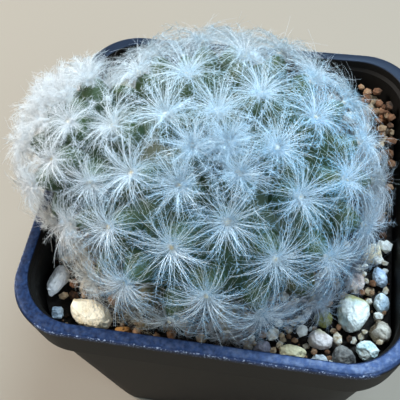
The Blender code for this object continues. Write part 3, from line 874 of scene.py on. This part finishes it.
def ball(bm, sides, rings):
    return bmesh.ops.create_uvsphere(bm, u_segments=sides, v_segments=rings, radius=1.0)["verts"]


def tubercle(bm, tip, areole):
    """A blunt cone that narrows to its areole."""
    made = ball(bm, TUBERCLE_SIDES, TUBERCLE_RINGS)
    # how far up its tubercle each vertex is, which places the painted light on the tips
    for vertex in made:
        up = (1 + vertex.co.z) / 2
        narrowing = 1 - TUBERCLE_NARROWING * up**TUBERCLE_POWER
        vertex[tip] = up
        vertex.co.x *= TUBERCLE_RADIUS * narrowing
        vertex.co.y *= TUBERCLE_RADIUS * narrowing
        vertex.co.z = (up - 1) * TUBERCLE_LENGTH
    bmesh.ops.transform(bm, matrix=upright(areole.place, areole.out), verts=made)


def flesh(skin, grown):
    bm = bmesh.new()
    tip = bm.verts.layers.float.new("tip")
    for head in (MAIN_HEAD, SIDE_HEAD):
        core = ball(bm, CORE_SIDES, CORE_RINGS)
        bmesh.ops.scale(bm, vec=head.radii - Vector((CORE_DEPTH,) * 3), verts=core)
        bmesh.ops.translate(bm, vec=head.centre, verts=core)
        for vertex in core:
            vertex.co.z = max(vertex.co.z, SOIL_TOP)
    for areole in grown:
        tubercle(bm, tip, areole)
    shown("cactus_flesh", bm, skin, "green_skin", ["cactus"])


def fluff(name, tones, patches, fibres):
    """The look of felt or of wool."""
    fluffy = Finish(name, DRY_ROUGHNESS)
    fluffy.colour(fluffy.blend(fluffy.noise(*patches), *tones))
    fluffy.bump(fluffy.noise(*fibres), *FIBRE_BUMP)
    return fluffy.material


def felt_dots(grown):
    """The short felt in the middle of each spray."""
    rng = random.Random(SEED)
    bm = bmesh.new()
    for areole in grown:
        radius = FELT_RADIUS * rng.uniform(*FELT_SIZES)
        made = bmesh.ops.create_icosphere(bm, subdivisions=2, radius=radius)["verts"]
        for vertex in made:
            vertex.co *= rng.uniform(*FELT_LUMPS)
        bmesh.ops.translate(bm, vec=areole.place + areole.out * WOOL_RISE, verts=made)
    shown("areole_felt", bm, fluff("cream_felt", FELT_TONES, FELT_NOISE, FELT_FIBRES), "cream_felt")


def wool_cushions(grown):
    """The white wool round the felt, which the spines stand in."""
    rng = random.Random(SEED)
    bm = bmesh.new()
    for areole in grown:
        made = bmesh.ops.create_icosphere(bm, subdivisions=2, radius=WOOL_RADIUS)["verts"]
        for vertex in made:
            vertex.co *= rng.uniform(*WOOL_LUMPS) * (1 + YOUNG_WIDER * areole.young)
            vertex.co.z *= WOOL_RISE / WOOL_RADIUS * (1 + YOUNG_HIGHER * areole.young)
        bmesh.ops.transform(bm, matrix=upright(areole.place, areole.out), verts=made)
    shown("areole_wool", bm, fluff("white_wool", WOOL_TONES, WOOL_NOISE, WOOL_FIBRES), "white_spines")


def white_spines():
    """The look of the spines, with painted light and shade: cool light to the right, warm light to the left,
    bluish shade in front, shade at the back and on the barbs; dried ones cream and ochre, with painted light
    to the left and a painted cool shade in front on the right.
    """
    fibre = Finish("white_spines", SPINE_ROUGHNESS)
    # masks of the painted light and shade on the spines
    painted_light_to_left = fibre.along("X", *SPINES_TO_LEFT)
    painted_light_to_right = fibre.along("X", *SPINES_TO_RIGHT)
    painted_outer_right = fibre.along("X", *SPINES_OUTER_RIGHT)
    painted_shade_to_back = fibre.along("Y", *SPINES_TO_BACK)
    front_shade_share = fibre.along("X", *SPINES_FRONT_SHADE_SHARE)
    painted_shade_to_front = fibre.maths("MULTIPLY", fibre.along("Y", *SPINES_TO_FRONT), front_shade_share)
    core = fibre.blend(fibre.noise(*SHAFT_NOISE), *SHAFT_TONES)
    # painted light and shade on the shafts
    for share, tint in ((painted_light_to_left, SHAFT_LEFT_WARM_LIGHT), (painted_light_to_right, SHAFT_RIGHT_COOL_LIGHT), (painted_shade_to_back, SHAFT_BACK_SHADE)):
        core = fibre.blend(share, core, tint)
    # painted shade on the barbs, with painted light and shade by side
    barbs = fibre.blend(painted_light_to_left, BARB_MIDDLE_SHADE, BARB_LEFT_LIGHT)
    for share, tint in (
        (painted_light_to_right, BARB_RIGHT_COOL_LIGHT),
        (painted_outer_right, BARB_OUTER_RIGHT_PAINTED),
        (painted_shade_to_back, BARB_BACK_SHADE),
        (painted_shade_to_front, BARB_FRONT_SHADE),
    ):
        barbs = fibre.blend(share, barbs, tint)
    # each part's share of the barbs' painted shade
    white = fibre.blend(fibre.attribute("barb_shade_share"), core, barbs)
    cream = fibre.blend(fibre.noise(*DRIED_NOISE), *DRIED_CREAM)
    cream = fibre.blend(fibre.speckle(*DRIED_OCHRE_PATCHES), cream, DRIED_OCHRE)
    # painted light on the dried spines to the left
    cream = fibre.blend(fibre.along("X", *DRIED_LIGHT_TO_LEFT), cream, DRIED_LEFT_LIGHT)
    # painted cool shade on the dried spines in front on the right
    lilac = fibre.blend(fibre.noise(*DRIED_NOISE), *DRIED_COOL_SHADE)
    cool_shade_to_front = fibre.along("Y", *COOL_SHADE_TO_FRONT)
    cool_shade_front_right = fibre.maths("MULTIPLY", fibre.along("X", *COOL_SHADE_TO_RIGHT), cool_shade_to_front)
    dried = fibre.blend(cool_shade_front_right, cream, lilac)
    fibre.colour(fibre.blend(fibre.attribute("age"), white, dried))
    return fibre.material


def shaft(radius, steps):
    """A slim spine laid along +X, cut in steps so that it can bend."""
    bm = bmesh.new()
    half = SPINE_LENGTH / 2
    bmesh.ops.create_cone(
        bm, cap_ends=True, segments=3, radius1=radius, radius2=SHAFT_TIP, depth=SPINE_LENGTH,
        matrix=Matrix.Translation((half, 0, 0)) @ Matrix.Rotation(math.pi / 2, 4, "Y"),
    )
    long_edges = [edge for edge in bm.edges if abs(edge.verts[0].co.x - edge.verts[1].co.x) > half]
    bmesh.ops.subdivide_edges(bm, edges=long_edges, cuts=steps)
    return bm


def template(bm, name):
    """The spine as a mesh to copy, with its length scaled to one and its thickness true."""
    bmesh.ops.scale(bm, vec=(1 / SPINE_LENGTH, 1, 1), verts=bm.verts)
    mesh = bpy.data.meshes.new(name)
    bm.to_mesh(mesh)
    bm.free()
    return mesh


def hair():
    """A plain fine spine."""
    bm = shaft(HAIR_ROOT, HAIR_STEPS)
    barb_shade_share = bm.verts.layers.float.new("barb_shade_share")
    # hairs take a share of the barbs' painted shade
    for vertex in bm.verts:
        vertex[barb_shade_share] = HAIR_SHADE_SHARE
    return template(bm, "hair")


def plume(rng):
    """A feathery spine."""
    bm = shaft(SHAFT_ROOT, SHAFT_STEPS)
    barb_shade_share = bm.verts.layers.float.new("barb_shade_share")
    for number in range(BARBS):
        share = BARBS_FROM + BARBS_SPAN * (number + rng.random()) / BARBS
        length = BARB_LENGTH * (BARB_AT_ROOT - BARB_TAPER * share) * rng.uniform(*BARB_LENGTHS)
        side = math.pi * (number % 2) + rng.gauss(0, BARB_SWIRL)
        crossing = number // 2 % 2 == 1
        lean = math.radians(rng.uniform(*(CROSS_LEAN if crossing else BARB_LEAN)))
        way = Vector((math.cos(lean), math.sin(lean) * math.cos(side), math.sin(lean) * math.sin(side)))
        radius = BARB_RADIUS * (CROSS_THINNER if crossing else 1)
        made = bmesh.ops.create_cone(
            bm, cap_ends=True, segments=3, radius1=radius, radius2=0, depth=length,
            matrix=upright((share * SPINE_LENGTH, 0, 0), way) @ Matrix.Translation((0, 0, length / 2)),
        )["verts"]
        # painted shade: full on barbs that cross other spines, less towards the spine's root
        for vertex in made:
            vertex[barb_shade_share] = 1.0 if crossing else min(1.0, BARB_SHADE_ROOT + BARB_SHADE_RISE * share)
    return template(bm, "plume")


def clear_of_pot(point, head):
    """Whether a point keeps off the pot and the stones, and under the height that spines may reach."""
    if not LOWEST_TIP < point.z < HIGHEST_TIP:
        return False
    inside = rounded_distance(point, MOUTH_HALF, RIM_CORNER - EDGE) < -WALL_MARGIN
    return inside or point.z > POT_HEIGHT + (OVERHANG if head is MAIN_HEAD else WALL_MARGIN)


class Arc:
    """The curve that a spine follows: away from its root, and bent over to its tip."""

    def __init__(self, root, launch, landing, length):
        self.root = root
        self.bend = root + launch * length * BEND_SHARE
        self.tip = self.bend + landing * length * TIP_SHARE
        self.side = launch.cross(landing)
        if self.side.length < 1e-6:
            self.side = launch.orthogonal()
        self.side.normalize()

    def at(self, share):
        rest = 1 - share
        return self.root * rest**2 + self.bend * (2 * share * rest) + self.tip * share**2

    def place(self, local):
        """A point of the straight spine, moved to the curved one."""
        share = local.x
        along = (self.bend - self.root) * (1 - share) + (self.tip - self.bend) * share
        over = self.side.cross(along).normalized()
        return self.at(share) + self.side * local.y + over * local.z


def spine_arc(areole, turn, lift, droop, swirl, length):
    """The arc of one spine, raised where the pot is in its way, or None."""
    flat = areole.out.orthogonal().normalized()
    flat = Matrix.Rotation(turn, 3, areole.out) @ flat
    aside = Matrix.Rotation(swirl, 3, areole.out) @ flat
    root = areole.place + flat * AREOLE_RADIUS
    for raised, shorter in BENT_CLEAR:
        launch = flat * math.cos(lift + raised) + areole.out * math.sin(lift + raised)
        landing = aside * math.cos(droop + raised) + areole.out * math.sin(droop + raised)
        arc = Arc(root, launch, landing, length * shorter)
        if all(clear_of_pot(arc.at(share), areole.head) for share in TESTED_SHARES):
            return arc
    return None


def age_at(place, rng):
    """How dried and yellowed a spine is: 0 on top, 1 where the plant meets the pot."""
    low = (DRIED_BELOW - place.z) / DRIED_SPAN
    return min(1.0, max(0.0, low + rng.gauss(0, AGE_SPREAD)))


def add_spine(bm, age_layer, arc, age, form):
    first = len(bm.verts)
    bm.from_mesh(form)
    bm.verts.ensure_lookup_table()
    for vertex in bm.verts[first:]:
        vertex.co = arc.place(vertex.co)
        vertex[age_layer] = age


def spray(bm, age_layer, areole, plumes, plain, rng):
    """A spray of feathery spines that arch out all round an areole, with plain hairs among them."""
    length = YOUNG_LENGTH + (SPINE_LENGTH - YOUNG_LENGTH) * areole.grown
    if areole.head is SIDE_HEAD:
        length *= SIDE_SHARE
    for number in range(SPRAY_SPINES + SPRAY_HAIRS):
        feathery = number < SPRAY_SPINES
        upper = number % 2
        turn = 2 * math.pi * (number + rng.uniform(-TURN_JITTER, TURN_JITTER)) / SPRAY_SPINES
        spread, twist = PLUME_SCATTER if feathery else HAIR_SCATTER
        lift = LIFT + LIFT_YOUNG * areole.young + LIFT_UPPER * upper + rng.gauss(0, spread)
        droop = DROOP + DROOP_YOUNG * areole.young + DROOP_UPPER * upper + rng.gauss(0, spread)
        swirl = math.radians(rng.gauss(0, twist))
        reach = length * rng.uniform(*LENGTH_SHARES)
        arc = spine_arc(areole, turn, math.radians(lift), math.radians(droop), swirl, reach)
        if arc is not None:
            form = rng.choice(plumes) if feathery else plain
            add_spine(bm, age_layer, arc, age_at(areole.place, rng), form)


def zone(areole):
    """The piece that an areole's spray belongs to."""
    if areole.head is SIDE_HEAD:
        return "sprays_side_head"
    if areole.place.z > CROWN_FROM:
        return "sprays_crown"
    side = "left" if areole.place.x < MAIN_HEAD.centre.x else "right"
    if areole.place.z > FLANK_FROM:
        return "sprays_flank_" + side
    return "sprays_skirt_" + side


def sprays(material, grown, plumes, plain):
    rng = random.Random(SEED)
    for name in sorted({zone(areole) for areole in grown}):
        bm = bmesh.new()
        age_layer = bm.verts.layers.float.new("age")
        for areole in grown:
            if zone(areole) == name:
                spray(bm, age_layer, areole, plumes, plain, rng)
        shown(name, bm, material, "white_spines", smooth=False)


def loose_spines(material, plumes, plain):
    """Short young spines at the growing points, and dried and matted ones low on the plant."""
    rng = random.Random(SEED)
    for name, head, feathery, count, angles, heights, lengths, lifts, droops in LOOSE_SPINES:
        other = SIDE_HEAD if head is MAIN_HEAD else MAIN_HEAD
        extra_age = LOOSE_AGE if angles[0] > 0 else 0.0
        bm = bmesh.new()
        age_layer = bm.verts.layers.float.new("age")
        grown = 0
        while grown < count:
            place, out = head.skin(rng.uniform(*angles), rng.uniform(0, 2 * math.pi))
            if other.inside(place) < 1 or not heights[0] < place.z - POT_HEIGHT < heights[1]:
                continue
            grown += 1
            root = Areole(head, place - out * LOOSE_DEPTH, out, GROWN_ANGLE)
            turn = rng.uniform(0, 2 * math.pi)
            lift = math.radians(rng.uniform(*lifts))
            droop = math.radians(rng.uniform(*droops))
            swirl = math.radians(rng.gauss(0, LOOSE_SWIRL))
            arc = spine_arc(root, turn, lift, droop, swirl, rng.uniform(*lengths))
            if arc is not None:
                age = min(1.0, age_at(place, rng) + extra_age)
                add_spine(bm, age_layer, arc, age, rng.choice(plumes) if feathery else plain)
        shown(name, bm, material, "white_spines", smooth=False)


def stone_finish(name, paints):
    base, shade, fleck = paints
    stone = Finish(name, DRY_ROUGHNESS, gloss=STONE_GLOSS)
    tone = stone.blend(stone.speckle(*STONE_PATCHES), base, shade)
    if name in SIDE_TINTS:
        axis, start, full, side_tint = SIDE_TINTS[name]
        fade = full - start
        ragged = stone.maths("MULTIPLY", stone.noise(*SIDE_TINT_NOISE), 2 * fade)
        reach = stone.maths("ADD", stone.axis(axis), ragged)
        tone = stone.blend(stone.spread(reach, start + fade, full + fade), tone, side_tint)
    dots = stone.dots(stone.cells(STONE_FLECK_CELLS), FLECK_RADIUS)
    flecks = stone.maths("MULTIPLY", dots, stone.speckle(*STONE_FLECKED))
    stone.colour(stone.blend(flecks, tone, fleck))
    rough = stone.maths("ADD", stone.cells(STONE_PORES), stone.noise(*STONE_NOISE))
    stone.bump(rough, *STONE_BUMP)
    return stone.material


def chip(verts, rng):
    """Flattens what stands out beyond a plane, as where a flake broke off."""
    middle = sum((vertex.co for vertex in verts), Vector()) / len(verts)
    way = Vector([rng.gauss(0, 1) for _ in range(3)]).normalized()
    limit = rng.uniform(*CHIP_DEPTH) * max((vertex.co - middle).dot(way) for vertex in verts)
    for vertex in verts:
        over = (vertex.co - middle).dot(way) - limit
        if over > 0:
            vertex.co -= way * over


def fill_box(bm, low, high):
    """Stretches a mesh to fill a box."""
    least = Vector([min(vertex.co[axis] for vertex in bm.verts) for axis in range(3)])
    most = Vector([max(vertex.co[axis] for vertex in bm.verts) for axis in range(3)])
    for vertex in bm.verts:
        for axis in range(3):
            share = (vertex.co[axis] - least[axis]) / (most[axis] - least[axis])
            vertex.co[axis] = low[axis] + share * (high[axis] - low[axis])


def rough_stone(node, material, slot, cuts, rng):
    """A stone of the frame, with flakes broken off, rough and pitted."""
    bm = bmesh.new()
    bm.from_mesh(node.data)
    bmesh.ops.remove_doubles(bm, verts=bm.verts, dist=SAME_PLACE)
    bmesh.ops.subdivide_edges(bm, edges=bm.edges, cuts=cuts, use_grid_fill=True)
    bmesh.ops.smooth_vert(
        bm, verts=bm.verts, factor=STONE_SMOOTHING, use_axis_x=True, use_axis_y=True, use_axis_z=True,
    )
    for _ in range(STONE_CHIPS):
        chip(bm.verts, rng)
    fill_box(bm, *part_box(node.name))
    bm.normal_update()
    for vertex in bm.verts:
        lumps = noise.fractal(vertex.co * STONE_LUMPS, *STONE_FRACTAL)
        pit = max(0.0, PIT_RADIUS - noise.voronoi(vertex.co * PIT_CELLS)[0][0])
        vertex.co += vertex.normal * (STONE_GRAIN * lumps - STONE_PITS * pit / PIT_RADIUS)
    piece = shown("rough_" + node.name, bm, material, slot, [node.name])
    piece.data.set_sharp_from_angle(angle=CREASE)


def stones():
    rng = random.Random(SEED)
    finishes = {slot: stone_finish(slot, paints) for slot, paints in STONE_PAINTS.items()}
    for name, slot in sorted(SLOTS.items()):
        if name in OWN_PAINTS:
            rough_stone(frame["nodes"][name], stone_finish(name, OWN_PAINTS[name]), slot, OWN_CUTS, rng)
        elif slot in finishes:
            rough_stone(frame["nodes"][name], finishes[slot], slot, STONE_CUTS, rng)


def grain_finish(slot):
    grain = Finish("loose_" + slot, DRY_ROUGHNESS, gloss=STONE_GLOSS)
    colours = grain.node("ShaderNodeValToRGB")
    ramp = colours.color_ramp
    for position, colour in GRAIN_STOPS[1:-1]:
        ramp.elements.new(position).color = (*colour, 1.0)
    ramp.elements[0].color = (*GRAIN_STOPS[0][1], 1.0)
    ramp.elements[-1].color = (*GRAIN_STOPS[-1][1], 1.0)
    speckled = grain.maths("ADD", grain.attribute("tone"), grain.speckle(*GRAIN_SPECKLE))
    grain.feed(colours.inputs[0], speckled)
    grain.colour(colours.outputs[0])
    grain.bump(grain.noise(*GRAIN_NOISE), *GRAIN_BUMP)
    return grain.material


class Bed:
    """What lies on the soil, as balls, and where a further grain comes to rest among them."""

    def __init__(self):
        self.balls = []
        for name, slot in SLOTS.items():
            if slot in STONE_PAINTS:
                low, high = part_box(name)
                radius = (high.x - low.x + high.y - low.y) / 4
                self.balls.append(((low + high) / 2, radius))

    def rest(self, x, y, radius):
        """Height of the middle of a grain that is dropped there."""
        height = SOIL_TOP + radius
        for centre, other in self.balls:
            reach = GRAIN_REACH * (radius + other)
            apart = math.hypot(x - centre.x, y - centre.y)
            if apart < reach:
                height = max(height, centre.z + math.sqrt(reach**2 - apart**2))
        return height


def grains():
    """Loose grains that are dropped one by one and kept where they come to rest low enough."""
    rng = random.Random(SEED)
    bed = Bed()
    for name, slot, count, radii, span_x, span_y, highest, tones in GRAINS:
        bm = bmesh.new()
        tone_layer = bm.verts.layers.float.new("tone")
        left = count
        for _ in range(count * GRAIN_TRIES):
            if left == 0:
                break
            radius = rng.uniform(*radii)
            place = Vector((rng.uniform(*span_x), rng.uniform(*span_y), 0))
            if rounded_distance(place, GRAIN_BED_HALF - radius, RIM_CORNER - radius) > 0:
                continue
            place.z = bed.rest(place.x, place.y, radius)
            if place.z > SOIL_TOP + highest:
                continue
            left -= 1
            bed.balls.append((place, radius))
            tone = rng.uniform(*tones)
            made = bmesh.ops.create_icosphere(bm, subdivisions=1, radius=radius)["verts"]
            for vertex in made:
                vertex.co *= rng.uniform(*GRAIN_LUMPS)
                vertex[tone_layer] = tone
            squash = Matrix.Diagonal((1, rng.uniform(*GRAIN_WIDTHS), rng.uniform(*GRAIN_HEIGHTS), 1))
            heading = Matrix.Rotation(rng.uniform(0, 2 * math.pi), 4, "Z")
            bmesh.ops.transform(bm, matrix=Matrix.Translation(place) @ heading @ squash, verts=made)
        shown(name, bm, grain_finish(slot), slot, smooth=False)


def spines(grown):
    """All that is made of spines and hairs."""
    rng = random.Random(SEED)
    plumes = [plume(rng) for _ in range(PLUMES)]
    plain = hair()
    material = white_spines()
    sprays(material, grown, plumes, plain)
    loose_spines(material, plumes, plain)
    for mesh in plumes + [plain]:
        bpy.data.meshes.remove(mesh)


def main():
    camera()
    studio()
    pot(black_plastic())
    potting_mix(dark_soil())
    stones()
    grains()
    grown = areoles()
    flesh(green_skin(), grown)
    felt_dots(grown)
    wool_cushions(grown)
    spines(grown)
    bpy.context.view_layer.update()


main()
